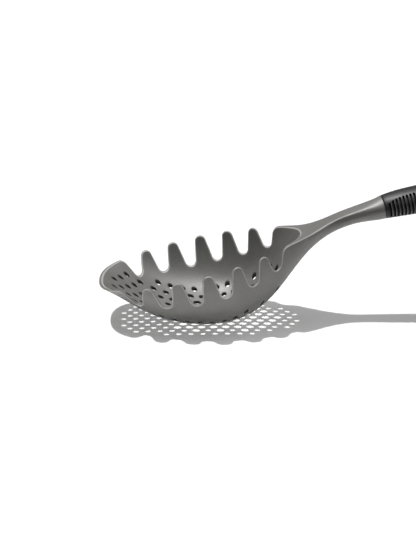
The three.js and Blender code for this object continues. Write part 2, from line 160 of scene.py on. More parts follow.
def quadratic(a, b, c):
    t = np.linspace(0, 1, bowl["edgeSteps"] + 1)[:, None, None]
    return (1 - t)**2 * a + 2 * t * (1 - t) * b + t**2 * c


def slopeOf(curve, x, step=0.5):
    return (curve(x + step) - curve(x - step)) / (2 * step)


def unit(vectors):
    return vectors / np.maximum(np.linalg.norm(vectors, axis=-1, keepdims=True), 1e-9)


def columns(*values):
    return np.stack(np.broadcast_arrays(*values), axis=-1)


def circle(count):
    return np.arange(count) / count * 2 * math.pi


def running(steps):
    return np.concatenate([[0], np.cumsum(steps)])


def pathLengths(points):
    return running(np.linalg.norm(np.diff(points, axis=0), axis=1))


def resample(points, step):
    lengths = pathLengths(points)
    at = np.linspace(0, lengths[-1], max(2, round(lengths[-1] / step) + 1))
    return columns(*(np.interp(at, lengths, column) for column in points.T))


# halves the span from low to high until it ends where isBelow changes
def bisect(low, high, isBelow, rounds=50):
    for _ in range(rounds):
        middle = (low + high) / 2
        below = isBelow(middle)
        low, high = np.where(below, middle, low), np.where(below, high, middle)
    return (low + high) / 2


# bowl surfaces
def makeFloorLine():
    angle = math.radians(bowl["rampAngle"])
    down = np.array([math.cos(angle), -math.sin(angle)])
    level = np.array([1.0, 0.0])
    lip = np.array([-bowl["lipReach"], 0.0])
    rampEnd = lip + down * bowl["rampLength"]
    belly = np.array([bowl["bellyStation"], -bowl["depth"]])
    neckEnd = np.array([neck["floorStation"], neck["floor"]])
    ramp = np.array([lip - down * bowl["lipReach"], rampEnd])
    front = bezier(rampEnd, rampEnd + down * bowl["rampHandle"],
                   belly - level * bowl["bellyFrontHandle"], belly)
    rear = bezier(belly, belly + level * bowl["bellyRearHandle"],
                  neckEnd - level * neck["floorHandle"], neckEnd)
    collarEnd = np.array([[neck["collar"], neck["collarBottom"]]])
    return np.vstack([ramp, front[1:], rear[1:], collarEnd])


floorLine = makeFloorLine()
floorRun = pathLengths(floorLine)


def floorAt(x):
    return np.interp(x, floorLine[:, 0], floorLine[:, 1])


sideHeight = float(-floorAt(0.0))


def sideReach(x):
    taper = np.clip(np.asarray(x, float) / bowl["taperReach"], 0, 1)**bowl["taperPower"]
    return bowl["halfWidth"] * (1 - taper)**(1 / bowl["taperPower"])


def wallCurve(u):
    return bowl["wallRound"] * u**2 + (1 - bowl["wallRound"]) * u**bowl["wallPower"]


def widthAtClimb(reach, climb):
    even, late = bowl["rimRound"], 1 - bowl["rimRound"]
    share = np.maximum(climb, 0) / sideHeight
    return reach * np.sqrt((np.sqrt(even**2 + 4 * late * share) - even) / (2 * late))


def rimHalf(x):
    return widthAtClimb(sideReach(x), -floorAt(x))


def wallOver(x):
    return bowl["wall"] * np.hypot(1, slopeOf(floorAt, x))


cavityGap = float(-(floorAt(bowl["cavityEnd"]) + wallOver(bowl["cavityEnd"])))


def cavityFloor(x):
    lead = np.maximum(0, (x - bowl["cavityEnd"] + bowl["cavityLead"]) / bowl["cavityLead"])
    return floorAt(x) + wallOver(x) + cavityGap * lead**2


def cavityReach(x):
    return sideReach(x) - bowl["sideSet"]


def cavityHalf(x):
    return widthAtClimb(cavityReach(x), -cavityFloor(x))


# a wall that climbs from a floor to the rim
def wallHeight(floor, reach, y):
    edge = wallCurve(widthAtClimb(reach, -floor) / reach)
    atLip = sideHeight * bowl["rimRound"] / bowl["wallRound"]
    scale = np.where(edge > 1e-6, -floor / np.maximum(edge, 1e-6), atLip)
    return floor + scale * wallCurve(np.abs(y) / reach)


def outerHeight(x, y):
    return wallHeight(floorAt(x), sideReach(x), y)


def innerHeight(x, y):
    return wallHeight(cavityFloor(x), cavityReach(x), y)


# neck sections: half width, height of the widest line, top and underside
def section(x):
    x = np.asarray(x, float)
    fork, waist, collar = neck["fork"], neck["waist"], neck["collar"]
    rise, topRise = handleAxis / (collar - fork), neck["collarTop"] / (collar - fork)

    def viaWaist(start, startSlope, middle, middleSlope, end, endSlope=0):
        return np.where(x < waist, hermite(x, fork, start, startSlope, waist, middle, middleSlope),
                        hermite(x, waist, middle, middleSlope, collar, end, endSlope))

    half = viaWaist(rimHalf(fork), slopeOf(rimHalf, fork), neck["waistHalfWidth"], 0,
                    neck["collarHalfWidth"])
    parting = viaWaist(0, 0, neck["waistParting"], rise, handleAxis)
    top = viaWaist(0, 0, neck["waistTop"], topRise, neck["collarTop"], neck["collarSlope"] * topRise)
    levelled = hermite(x, neck["floorStation"], neck["floor"], 0, collar, neck["collarBottom"], 0)
    bottom = np.where(x < neck["floorStation"], floorAt(x), levelled)
    onBowl = x <= fork
    return (np.where(onBowl, rimHalf(x), half), np.where(onBowl, 0, parting),
            np.where(onBowl, 0, top), bottom)


# underside of bowl and neck; share runs from -1 to 1 across
def underside(x, share):
    half, parting, _, bottom = section(x)
    across = np.maximum(half / sideReach(np.minimum(x, neck["fork"])), 1e-3)
    flared = wallCurve(across * share) / wallCurve(across)
    oval = 1 - np.sqrt(np.maximum(0, 1 - share**2))
    climb = lerp(flared, oval, ease(neck["fork"] - neck["forkLead"], neck["waist"], x))
    return half * share, lerp(bottom, parting, climb)


def hollow(x, share):
    y = cavityHalf(x) * share
    return y, innerHeight(x, y)


def squareness(x):
    return lerp(neck["waistSquareness"], neck["collarSquareness"], ease(neck["waist"], neck["collar"], x))


def neckTop(x, share):
    _, parting, top, _ = section(x)
    power = squareness(x)
    crown = np.maximum(0, 1 - np.abs(share)**power)**(1 / power)
    return parting + (top - parting) * crown


# share of the half width at which a surface has some height
def shareAtHeight(surface, x, z):
    return bisect(np.zeros_like(x), np.ones_like(x), lambda share: surface(x, share)[1] < z)


# places along the rim, from the widest station, and their x
def rimTrace():
    front = -bowl["lipReach"] + np.linspace(0, 1, bowl["lineSteps"])**2 * bowl["lipReach"]
    rear = np.linspace(0, neck["topStart"], bowl["lineSteps"])[1:]
    x = np.concatenate([front, rear])
    y = np.concatenate([[0], rimHalf(x[1:])])
    lengths = running(np.hypot(np.diff(x), np.diff(y)))
    return lengths - np.interp(0.0, x, lengths), x


def arc(centre, radius, start, end):
    count = max(3, round(abs(end - start) * radius / teeth["step"]) + 1)
    angles = np.linspace(start, end, count)
    return [(centre[0] + radius * math.cos(a), centre[1] + radius * math.sin(a)) for a in angles]


def flankAngle(away, radius, depth):
    drop = depth - teeth["gapRadius"] - radius
    reach = math.asin((radius + teeth["gapRadius"]) / math.hypot(away, drop))
    return math.atan2(drop, away) + reach


# edge of the bowl, as places along the rim and heights
def toothLine(rimStart, rimEnd):
    quarter, gapRadius = math.pi / 2, teeth["gapRadius"]
    half, away = teeth["perSide"] / 2, teeth["pitch"] / 2
    line = [(rimStart, 0.0)]
    for k in range(teeth["perSide"] + 1):
        place = teeth["middle"] + (k - half) * teeth["pitch"]
        depth = teeth["gapDepth"] - teeth["gapRise"] * ((k - half) / half)**2
        front = rear = (away, teeth["tipRadius"])
        if k == 0:
            front = (away + teeth["lipCornerSet"], teeth["lipCornerRadius"])
        if k == teeth["perSide"]:
            rear = (away + teeth["shoulderSet"], teeth["shoulderRadius"])
        frontFlank, rearFlank = flankAngle(*front, depth), flankAngle(*rear, depth)
        line += arc((place - front[0], -front[1]), front[1], quarter, quarter - frontFlank)
        line += arc((place, gapRadius - depth), gapRadius,
                    3 * quarter - frontFlank, 3 * quarter + rearFlank)
        line += arc((place + rear[0], -rear[1]), rear[1], quarter + rearFlank, quarter)
    shoulder = line[-1][0]
    line.append((rimEnd, 0.0))
    return np.array(line), shoulder


# keeps the corners of the line and adds points between them
def withPointsBetween(line):
    points = [line[0]]
    for a, b in zip(line[:-1], line[1:]):
        length = np.linalg.norm(b - a)
        if length > 1e-6:
            count = max(1, round(length / teeth["step"]))
            points += [lerp(a, b, (k + 1) / count) for k in range(count)]
    return np.array(points)


# goes from the rim along a level line to where a surface has some height
def meetWall(height, x, y, way, z):
    def isBelow(distance):
        return height(x + distance * way[:, 0], y + distance * way[:, 1]) < z

    return bisect(np.full_like(x, -teeth["reach"]), np.zeros_like(x), isBelow)


def tangents(points):
    mirrored = points[1] * flip
    closed = np.vstack([mirrored, points, 2 * points[-1] - points[-2]])
    return unit(closed[2:] - closed[:-2])


# away from the edge, down a surface
def intoWall(height, x, y, along, step=0.05):
    gx = (height(x + step, y) - height(x - step, y)) / (2 * step)
    gy = (height(x, y + step) - height(x, y - step)) / (2 * step)
    return unit(np.cross(along, unit(columns(-gx, -gy, 1.0))))


def levelWay(turn):
    return columns(-np.sin(turn), np.cos(turn))


# outer edge from the lip round one side to the fork, the way of its cuts and the inner edge
def bowlEdges():
    lengths, rimX = rimTrace()
    line, shoulder = toothLine(lengths[0], np.interp(neck["fork"], rimX, lengths))
    line = withPointsBetween(line)
    place, z = line[:, 0], line[:, 1]
    x = np.interp(place, lengths, rimX)
    y = np.where(place <= lengths[0], 0, rimHalf(x))
    slope = np.clip(slopeOf(rimHalf, np.maximum(x, -bowl["lipReach"] + 0.5)),
                    -teeth["steepest"], teeth["steepest"])
    lipCorner = teeth["middle"] - teeth["perSide"] / 2 * teeth["pitch"] - teeth["pitch"]
    follow = lerp(1.0, teeth["gapTurn"], ease(lengths[0], lipCorner, place))
    way = levelWay(follow * np.where(place <= lengths[0], math.pi / 2, np.arctan(slope)))
    reach = np.where(z < -1e-6, meetWall(outerHeight, x, y, way, z), 0)
    within = meetWall(innerHeight, x, y, way, z)
    outer, inner = (columns(x + far * way[:, 0], y + far * way[:, 1], z) for far in (reach, within))
    paired = place <= shoulder + 1e-6
    return outer, way, inner[paired], int(paired.sum()) - 1


# the outer edge with its rounding, on to the collar
def outerStrip(edge, way):
    d, steps, n = bowl["edgeRound"], bowl["edgeSteps"], len(edge)
    fork, lead = neck["fork"], neck["forkLead"]
    x = np.arange(fork, neck["collar"] + 1e-6, 1.0)[1:]
    points = np.vstack([edge, columns(x, *section(x)[:2])])
    turn = teeth["gapTurn"] * np.arctan(slopeOf(lambda at: section(at)[0], x))
    ways = np.vstack([way, levelWay(turn)])
    into = intoWall(outerHeight, np.minimum(points[:, 0], fork), points[:, 1], tangents(points))
    down = ease(fork - lead, fork + lead, points[:, 0])[:, None]
    into = unit(lerp(into, np.array([0.0, 0.0, -1.0]), down))

    def onUnderside(distance):
        moved = points + distance * into
        share = shareAtHeight(underside, moved[:, 0], moved[:, 2])
        share[0] = 0
        return columns(moved[:, 0], underside(moved[:, 0], share)[0], moved[:, 2]), share

    low, lowShare = onUnderside(d)
    halfLow, _ = onUnderside(d / 2)
    high = points.copy()
    high[:, :2] -= d * ways
    highShare = np.clip(high[n:, 1] / section(high[n:, 0])[0], 0, 1)
    high[n:, 2] = neckTop(high[n:, 0], highShare)
    strip = quadratic(low, points, high)
    # on the neck the rounding gives way to the section's own corner
    power = squareness(x)
    last = np.arcsin(highShare**(power / 2))
    rounded = strip[:, n:].copy()
    rounded[1], rounded[2] = halfLow[n:], points[n:]
    for k in range(3, steps + 1):
        t = (k - 2) / (steps - 2)
        share = np.sin(lerp(math.pi / 2, last, t))**(2 / power)
        rowX = lerp(points[n:, 0], high[n:, 0], t)
        rounded[k] = columns(rowX, section(rowX)[0] * share, neckTop(rowX, share))
    strip[:, n:] = lerp(strip[:, n:], rounded, ease(fork, neck["waist"], x)[None, :, None])
    return strip, lowShare


def innerStrip(inner, way):
    d, n, end = bowl["edgeRound"], len(inner), bowl["cavityEnd"]
    lastX = inner[-1, 0]
    x = lastX + (end - lastX) * np.sin(np.linspace(0, math.pi / 2, bowl["lineSteps"] // 2))
    rear = columns(x, cavityHalf(x), 0.0)
    rear[0], rear[-1] = inner[-1], (end, 0, 0)
    rear = resample(rear, teeth["step"])[1:]
    points = np.vstack([inner, rear])
    along = tangents(points)
    along[-1] = (0, -1, 0)
    low = points + d * intoWall(innerHeight, points[:, 0], np.maximum(points[:, 1], 0), along)
    share = shareAtHeight(hollow, low[:, 0], low[:, 2])
    share[[0, -1]] = 0
    low[:, 1] = cavityHalf(low[:, 0]) * share
    across = unit(columns(-along[:, 1], along[:, 0]))
    blend = ease(0, teeth["turnPoints"], np.arange(len(rear)))[:, None]
    ways = np.vstack([way[:n], unit(lerp(way[n - 1], across[n:], blend))])
    high = points.copy()
    high[:, :2] += d * ways
    high[-1, 1] = 0
    return quadratic(high, points, low), share


# flat patterns of a curved patch, for its triangles
def arcAcross(surface, x, share, steps=48):
    angle = np.arcsin(np.clip(np.abs(share), 0, 1))
    y, z = surface(x[:, None], np.sin(np.linspace(0, 1, steps + 1)[None, :] * angle[:, None]))
    return np.sign(share) * np.hypot(np.diff(y, axis=1), np.diff(z, axis=1)).sum(axis=1)


def flatten(surface, x, share):
    return columns(np.interp(x, floorLine[:, 0], floorRun), arcAcross(surface, x, share))


# points inside a loop that keep away from its sides
def keptInside(points, loop):
    a, b = loop, np.roll(loop, -1, axis=0)
    px, py = points[:, 0][:, None], points[:, 1][:, None]
    side = b - a
    crosses = (a[:, 1] > py) != (b[:, 1] > py)
    rise = np.where(side[:, 1] == 0, 1e-12, side[:, 1])
    at = a[:, 0] + (py - a[:, 1]) * side[:, 0] / rise
    inside = (crosses & (px < at)).sum(axis=1) % 2 == 1
    along = (px - a[:, 0]) * side[:, 0] + (py - a[:, 1]) * side[:, 1]
    t = np.clip(along / (side**2).sum(axis=1), 0, 1)
    distance = np.hypot(px - a[:, 0] - t * side[:, 0], py - a[:, 1] - t * side[:, 1]).min(axis=1)
    return inside & (distance > bowl["meshMargin"] * bowl["mesh"])


# rows of even triangles on a surface, inside a loop
def fillSurface(surface, loop, xRange, steps=60):
    size = bowl["mesh"]
    start, end = np.interp(xRange, floorLine[:, 0], floorRun)
    flat, places = [], []
    angles = np.linspace(0, math.pi / 2, steps)
    for row, run in enumerate(np.arange(start, end, size * math.sqrt(0.75))):
        x = np.interp(run, floorRun, floorLine[:, 0])
        y, z = surface(np.full_like(angles, x), np.sin(angles))
        lengths = running(np.hypot(np.diff(y), np.diff(z)))
        count = int(lengths[-1] / size)
        v = (np.arange(-count, count + 1) + (row % 2) / 2) * size
        v = v[np.abs(v) < lengths[-1]]
        share = np.sign(v) * np.sin(np.interp(np.abs(v), lengths, angles))
        flat.append(columns(run, v))
        places.append(columns(x, *surface(np.full_like(share, x), share)))
    flat, places = np.vstack(flat), np.vstack(places)
    keep = keptInside(flat, loop)
    return flat[keep], places[keep]


def triangulate(points, loops):
    result = delaunay_2d_cdt([Vector(p) for p in points], [], [list(loop) for loop in loops], 1, 1e-7)
    origin = [ids[0] for ids in result[3]]
    return [[origin[k] for k in face] for face in result[2]]


def plainMesh(name, points, faces, values):
    mesh = bpy.data.meshes.new(name)
    mesh.from_pydata([tuple(p) for p in points], [], faces)
    for key, column in values.items():
        layer = mesh.attributes.new(key, "FLOAT", "POINT")
        layer.data.foreach_set("value", np.asarray(column, np.float32))
    return mesh


# points and faces, with values for each point; edge is 1 on a rounded edge, where wear and a painted
# highlight lighten the colour, and -1 down in a cut, where painted shade darkens it
class Shell:
    def __init__(self, *keys):
        self.points, self.faces = [], []
        self.values = {key: [] for key in keys}

    def add(self, points, **values):
        start = len(self.points)
        places = np.reshape(points, (-1, 3))
        self.points += [tuple(p) for p in places]
        for key, column in self.values.items():
            column += list(np.broadcast_to(np.ravel(values.get(key, 0.0)), len(places)))
        return np.arange(start, len(self.points))

    def loft(self, rows, closed=False):
        for a, b in zip(rows[:-1], rows[1:]):
            count = len(a)
            for k in range(count if closed else count - 1):
                n = (k + 1) % count
                self.faces.append([a[k], a[n], b[n], b[k]])

    def fan(self, ring, tip):
        point = self.add([tip])[0]
        self.faces += [[ring[k], ring[(k + 1) % len(ring)], point] for k in range(len(ring))]

    def tube(self, rings):
        self.loft(rings, closed=True)
        self.faces += [list(rings[0]), list(rings[-1])]

    def patch(self, loopIds, loopFlat, innerFlat, innerPoints):
        ids = np.concatenate([loopIds, self.add(innerPoints)])
        faces = triangulate(np.vstack([loopFlat, innerFlat]), [range(len(loopFlat))])
        self.faces += [[ids[k] for k in face] for face in faces]

    def mesh(self, name):
        mesh = plainMesh(name, self.points, [list(map(int, face)) for face in self.faces], self.values)
        work = bmesh.new()
        work.from_mesh(mesh)
        bmesh.ops.recalc_face_normals(work, faces=work.faces)
        openEdges = sum(1 for e in work.edges if not e.is_manifold)
        work.to_mesh(mesh)
        work.free()
        print(name, "has", len(mesh.polygons), "faces,", openEdges, "open edges")
        return mesh


# ids of a strip on both sides; the ends that lie on the middle plane are shared
def addSides(shell, strip, sharedFirst, sharedLast):
    rows, count = strip.shape[:2]
    # edge rises to 1 along the middle of the rounding, for wear and a painted highlight, and fades out
    # along the neck
    onBowl = 1 - ease(neck["fork"], neck["waist"], strip[:, :, 0])
    edge = np.sin(np.linspace(0, math.pi, rows))[:, None] * onBowl
    left = shell.add(strip, edge=edge).reshape(rows, count)
    right = left.copy()
    keep = np.ones(count, bool)
    keep[0], keep[-1] = not sharedFirst, not sharedLast
    right[:, keep] = shell.add((strip * flip)[:, keep], edge=edge[:, keep]).reshape(rows, keep.sum())
    return left, right


def buildHead():
    shell = Shell("edge")
    edge, way, inner, shoulder = bowlEdges()
    outer, share = outerStrip(edge, way)
    inside, insideShare = innerStrip(inner, way)
    left, right = addSides(shell, outer, True, False)
    leftIn, rightIn = addSides(shell, inside, True, True)
    for side, sideIn in ((left, leftIn), (right, rightIn)):
        shell.loft(side)
        shell.loft(sideIn)
        shell.loft([side[-1, :shoulder + 1], sideIn[0, :shoulder + 1]])
    # underside, from the lip to the collar
    x = outer[0, :, 0]
    collarShare = np.sin(np.arcsin(share[-1]) * np.linspace(1, -1, neck["underColumns"] + 1)[1:-1])
    collarX = np.full_like(collarShare, neck["collar"])
    under = shell.add(columns(collarX, *underside(collarX, collarShare)))
    loopIds = np.concatenate([left[0], under, right[0, :0:-1]])
    loop = flatten(underside, np.concatenate([x, collarX, x[:0:-1]]),
                   np.concatenate([share, collarShare, -share[:0:-1]]))
    shell.patch(loopIds, loop, *fillSurface(underside, loop, (-bowl["lipReach"], neck["collar"])))
    # inside of the bowl
    x, share = inside[-1, :, 0], insideShare
    loopIds = np.concatenate([leftIn[-1], rightIn[-1, -2:0:-1]])
    loop = flatten(hollow, np.concatenate([x, x[-2:0:-1]]), np.concatenate([share, -share[-2:0:-1]]))
    shell.patch(loopIds, loop, *fillSurface(hollow, loop, (x[0], x[-1])))
    # top of the neck, in rows behind the fork
    stations = outer[-1, :, 0]
    first = int(np.argmax(stations > neck["topStart"]))
    spread = np.cos(np.linspace(0, math.pi, neck["topColumns"] + 1))[1:-1]
    topRows = []
    for k in range(first, len(stations)):
        half = section(stations[k])[0]
        share = outer[-1, k, 1] / half * spread
        rowX = np.full_like(spread, stations[k])
        row = shell.add(columns(rowX, half * share, neckTop(rowX, share)))
        topRows.append(np.concatenate([[left[-1, k]], row, [right[-1, k]]]))
    shell.loft(topRows)
    # top of the shoulders, between the hollow's end and the neck's first row
    loopIds = np.concatenate([left[-1, shoulder:first], topRows[0], right[-1, first - 1:shoulder - 1:-1],
                              rightIn[0, shoulder:-1], leftIn[0, :shoulder - 1:-1]])
    loop = np.array([shell.points[k][:2] for k in loopIds])
    gridStart, gridHalf = bowl["shoulderGrid"]
    gridX = np.arange(gridStart, neck["topStart"] + 2, bowl["mesh"])
    gridY = np.arange(-gridHalf, gridHalf, bowl["mesh"])
    grid = np.stack(np.meshgrid(gridX, gridY), axis=-1).reshape(-1, 2)
    grid = grid[keptInside(grid, loop)]
    x, y = grid.T
    heights = np.where(x > neck["fork"], neckTop(x, np.clip(y / section(x)[0], -1, 1)), 0)
    shell.patch(loopIds, loop, grid, columns(x, y, heights))
    ring = np.concatenate([[left[0, -1]], under, right[:, -1], topRows[-1][-2:0:-1], left[:0:-1, -1]])
    addTang(shell, ring)
    return shell


tang = {
    "length": 46,
    "width": 7,
    "thickness": 3.6,
    "barbDepth": 1,
    "barbEase": 0.3,
    "barbPitch": 10,
}


# collar's end and the barbed tang behind it
def addTang(shell, ring):
    collar, half, pitch = neck["collar"], tang["width"] / 2, tang["barbPitch"]
    places = np.array([shell.points[k] for k in ring])
    middle = np.array([collar, 0, handleAxis])
    start, end = collar + neck["collarRound"] / 3, collar + tang["length"]
    inset = places - unit(places - middle) * neck["collarRound"]
    inset[:, 0] = start
    widths = [(start, half)]
    for x in np.arange(collar + pitch, end - pitch, pitch):
        widths += [(x, half), (x + tang["barbEase"], half - tang["barbDepth"]), (x + pitch / 2, half)]
    widths += [(end - half / 2, half), (end, half / 2)]
    offset = places[:, 1:] - middle[1:]
    reach = np.maximum(np.abs(offset[:, 0]) / half, np.abs(offset[:, 1]) / (tang["thickness"] / 2))
    flat = offset / reach[:, None]
    rings = [ring, shell.add(inset)]
    for x, halfWidth in widths:
        y, z = (flat * (halfWidth / half, 1) + middle[1:]).T
        rings.append(shell.add(columns(x, y, z)))
    shell.loft(rings, closed=True)
    shell.fan(rings[-1], (end, 0, handleAxis))


headMesh = buildHead().mesh("scoopHead")


# a node's output, to be used in formulas; [name] is another output of the same node
class Field:
    def __init__(self, nodes, node, key=0):
        self.nodes, self.node, self.key = nodes, node, key

    def __getitem__(self, key):
        return Field(self.nodes, self.node, key)

    def maths(self, operation, other=0.0):
        return self.nodes.add("ShaderNodeMath", {0: self, 1: other}, operation=operation)

    def __add__(self, other):
        return self.maths("ADD", other)

    def __sub__(self, other):
        return self.maths("SUBTRACT", other)

    def __mul__(self, other):
        return self.maths("MULTIPLY", other)

    def __truediv__(self, other):
        return self.maths("DIVIDE", other)


# adds nodes to a tree
class Nodes:
    def __init__(self, tree):
        self.tree = tree

    def add(self, kind, inputs=None, **settings):
        node = self.tree.nodes.new(kind)
        for key, value in settings.items():
            setattr(node, key, value)
        self.feed(node, inputs or {})
        return Field(self, node)

    # a list is for a socket that takes several fields
    def feed(self, node, inputs):
        for key, value in inputs.items():
            for item in value if isinstance(value, list) else [value]:
                if isinstance(item, Field):
                    self.tree.links.new(item.node.outputs[item.key], node.inputs[key])
                else:
                    node.inputs[key].default_value = item

    def vector(self, operation, a, b=(0, 0, 0)):
        return self.add("ShaderNodeVectorMath", {0: a, 1: b}, operation=operation)

    def split(self, vector):
        return self.add("ShaderNodeSeparateXYZ", {0: vector})

    def join(self, x, y, z):
        return self.add("ShaderNodeCombineXYZ", {0: x, 1: y, 2: z})

    def mix(self, factor, a, b):
        return self.add("ShaderNodeMix", {0: factor, 2: a, 3: b}, data_type="FLOAT")

    def mixVectors(self, factor, a, b):
        return self.add("ShaderNodeMix", {0: factor, 4: a, 5: b}, data_type="VECTOR")[1]

    def mixColours(self, factor, a, b):
        return self.add("ShaderNodeMix", {0: factor, 6: a, 7: b}, data_type="RGBA")[2]

    def named(self, name, kind="FLOAT"):
        return self.add("GeometryNodeInputNamedAttribute", {"Name": name}, data_type=kind)

    def store(self, geometry, name, value, kind="FLOAT"):
        inputs = {"Geometry": geometry, "Name": name, "Value": value}
        return self.add("GeometryNodeStoreNamedAttribute", inputs, data_type=kind, domain="POINT")

    def shapeOf(self, source):
        return self.add("GeometryNodeObjectInfo", {"Object": source})["Geometry"]

    def copiesAt(self, points, shape):
        copies = self.add("GeometryNodeInstanceOnPoints", {"Points": points, "Instance": shape})
        return self.add("GeometryNodeRealizeInstances", {"Geometry": copies})

    def moveTo(self, geometry, position):
        return self.add("GeometryNodeSetPosition", {"Geometry": geometry, "Position": position})

    def solids(self, operation, inputs):
        return self.add("GeometryNodeMeshBoolean", inputs, operation=operation, solver="MANIFOLD")

    def cutAway(self, solid, cutters):
        return self.solids("DIFFERENCE", {"Mesh 1": solid, "Mesh 2": cutters})

    def noise(self, scale, detail):
        place = self.add("ShaderNodeTexCoord")["Object"]
        return self.add("ShaderNodeTexNoise", {"Vector": place, "Scale": scale, "Detail": detail})

    def ramp(self, factor, stops):
        field = self.add("ShaderNodeValToRGB", {"Fac": factor})
        for element, (place, colour) in zip(field.node.color_ramp.elements, stops):
            element.position = place
            element.color = (*colour, 1)
        return field


def newTree(name, inputs):
    tree = bpy.data.node_groups.new(name, "GeometryNodeTree")
    for way in ("INPUT", "OUTPUT"):
        tree.interface.new_socket("Geometry", in_out=way, socket_type="NodeSocketGeometry")
    for label, kind in inputs.items():
        tree.interface.new_socket(label, in_out="INPUT", socket_type="NodeSocket" + kind)
    nodes = Nodes(tree)
    return nodes, nodes.add("NodeGroupInput")


finish = {
    "weld": 0.001,             # joins the points of slivers that cuts leave
    "crease": 35,              # degrees from which an edge stays crisp
}
finishInputs = {"Weld": "Float", "Crease": "Float", "Material": "Material"}


def finishValues(material):
    return {"Weld": finish["weld"], "Crease": math.radians(finish["crease"]), "Material": material}


def finishTree(nodes, start, geometry):
    weld = nodes.add("GeometryNodeMergeByDistance", {"Geometry": geometry, "Distance": start["Weld"]})
    smooth = nodes.add("GeometryNodeSetShadeSmooth", {"Geometry": weld}, domain="FACE")
    even = nodes.add("GeometryNodeInputMeshEdgeAngle").maths("LESS_THAN", start["Crease"])
    crisp = nodes.add("GeometryNodeSetShadeSmooth", {"Geometry": smooth, "Shade Smooth": even},
                      domain="EDGE")
    real = nodes.add("GeometryNodeRealizeInstances", {"Geometry": crisp})
    paint = nodes.add("GeometryNodeSetMaterial", {"Geometry": real, "Material": start["Material"]})
    nodes.add("NodeGroupOutput", {"Geometry": paint})
    return nodes.tree


def addObject(name, data):
    thing = bpy.data.objects.new(name, data)
    bpy.context.scene.collection.objects.link(thing)
    return thing


# runs a tree on a mesh and gives the plain mesh that comes out; helpers are meshes that the tree reads
def runTree(mesh, tree, helpers, values):
    things = {key: addObject(data.name, data) for key, data in helpers.items()}
    inputs = {**things, **values}
    carrier = addObject(mesh.name, mesh)
    modifier = carrier.modifiers.new(tree.name, "NODES")
    modifier.node_group = tree
    for item in tree.interface.items_tree:
        if item.in_out == "INPUT" and item.name in inputs:
            modifier[item.identifier] = inputs[item.name]
    bpy.context.view_layer.update()
    graph = bpy.context.evaluated_depsgraph_get()
    result = bpy.data.meshes.new_from_object(carrier.evaluated_get(graph))
    carrier.modifiers.remove(modifier)
    for thing in (carrier, *things.values()):
        bpy.data.objects.remove(thing)
    for data in helpers.values():
        bpy.data.meshes.remove(data)
    return result


# drain holes: rows from the middle outwards as (first, last, first large, last large, every)
drain = {
    "pitch": 6.43,
    "rowPitch": 5.66,
    "large": 4.1,
    "small": 2.9,
    "lead": 44.4,              # first hole of a row to the widest station
    "rows": [(0, 14, 5, 13, 1), (0, 14, 4, 12, 1), (0, 14, 5, 12, 1),
             (0, 13, 4, 11, 1), (1, 12, 6, 10, 2), (3, 10, 1, 0, 1)],
    "edge": 0.2,
    "sides": 16,
    "clear": 100,              # height above and below from which the wall is felt
}


def drainPoints():
    shell = Shell("radius")
    for row, (first, last, largeFirst, largeLast, every) in enumerate(drain["rows"]):
        for k in range(first, last + 1):
            large = largeFirst <= k <= largeLast and (k - largeFirst) % every == 0
            x = (k + row % 2 / 2) * drain["pitch"] - drain["lead"]
            for side in ((1,) if row == 0 else (1, -1)):
                shell.add([(x, row * drain["rowPitch"] * side, 0)],
                          radius=drain["large" if large else "small"] / 2)
    return shell.mesh("drainPoints")


# a drill with flared ends; its rings say how far they flare and lie from the inner or outer face
def drillBlank():
    shell = Shell("flare", "level", "inner", "edge")
    angles = circle(drain["sides"])
    rings = []
    # every ring has edge -1, so the walls of the holes get painted shade
    for flare, level, inner in ((2.0, 1.0, 1), (0.0, -1.0, 1), (0.0, 1.0, 0), (2.0, -1.0, 0)):
        rings.append(shell.add(columns(np.cos(angles), np.sin(angles), -len(rings)),
                               flare=flare, level=level, inner=inner, edge=-1.0))
    shell.tube(rings)
    return shell.mesh("drillBlank")


def drainTree():
    nodes, start = newTree("drainHoles", {"Places": "Object", "Drill": "Object", "Edge": "Float",
                                          **finishInputs})
    here = nodes.add("GeometryNodeInputPosition")
    inner, edge, vector = nodes.named("inner"), start["Edge"], "FLOAT_VECTOR"
    points = nodes.shapeOf(start["Places"])
    for face, side in (("inner", 1.0), ("outer", -1.0)):
        ray = nodes.add("GeometryNodeRaycast", {
            "Target Geometry": start["Geometry"],
            "Source Position": nodes.vector("ADD", here, (0, 0, side * drain["clear"])),
            "Ray Direction": (0, 0, -side), "Ray Length": 3 * drain["clear"]})
        points = nodes.store(points, face + "Hit", ray["Hit Position"], vector)
        points = nodes.store(points, face + "Normal", ray["Hit Normal"], vector)
    drills = nodes.copiesAt(points, nodes.shapeOf(start["Drill"]))
    hit, normal = (nodes.mixVectors(inner, nodes.named("outer" + what, vector),
                                    nodes.named("inner" + what, vector)) for what in ("Hit", "Normal"))
    centre, tilt = nodes.split(hit), nodes.split(normal)
    out = nodes.split(nodes.vector("SUBTRACT", here, hit))
    radius = nodes.named("radius") + nodes.named("flare") * edge
    dx, dy = out[0] * radius, out[1] * radius
    drop = (tilt[0] * dx + tilt[1] * dy) / tilt[2]
    z = centre[2] - drop + nodes.named("level") * edge
    drills = nodes.moveTo(drills, nodes.join(centre[0] + dx, centre[1] + dy, z))
    return finishTree(nodes, start, nodes.cutAway(start["Geometry"], drills))


# materials
def newMaterial(name):
    material = bpy.data.materials.new(name)
    material.use_nodes = True
    return material, Nodes(material.node_tree), material.node_tree.nodes["Principled BSDF"]


moulding = {
    "cloudDetail": 3,
    "grainDetail": 2,
    "ramp": (0.35, 0.65),      # speckle that is dark, and light
    "waveHeight": 0.0004,
    "grainHeight": 0.0001,
    "pitRoughness": 0.95,
}


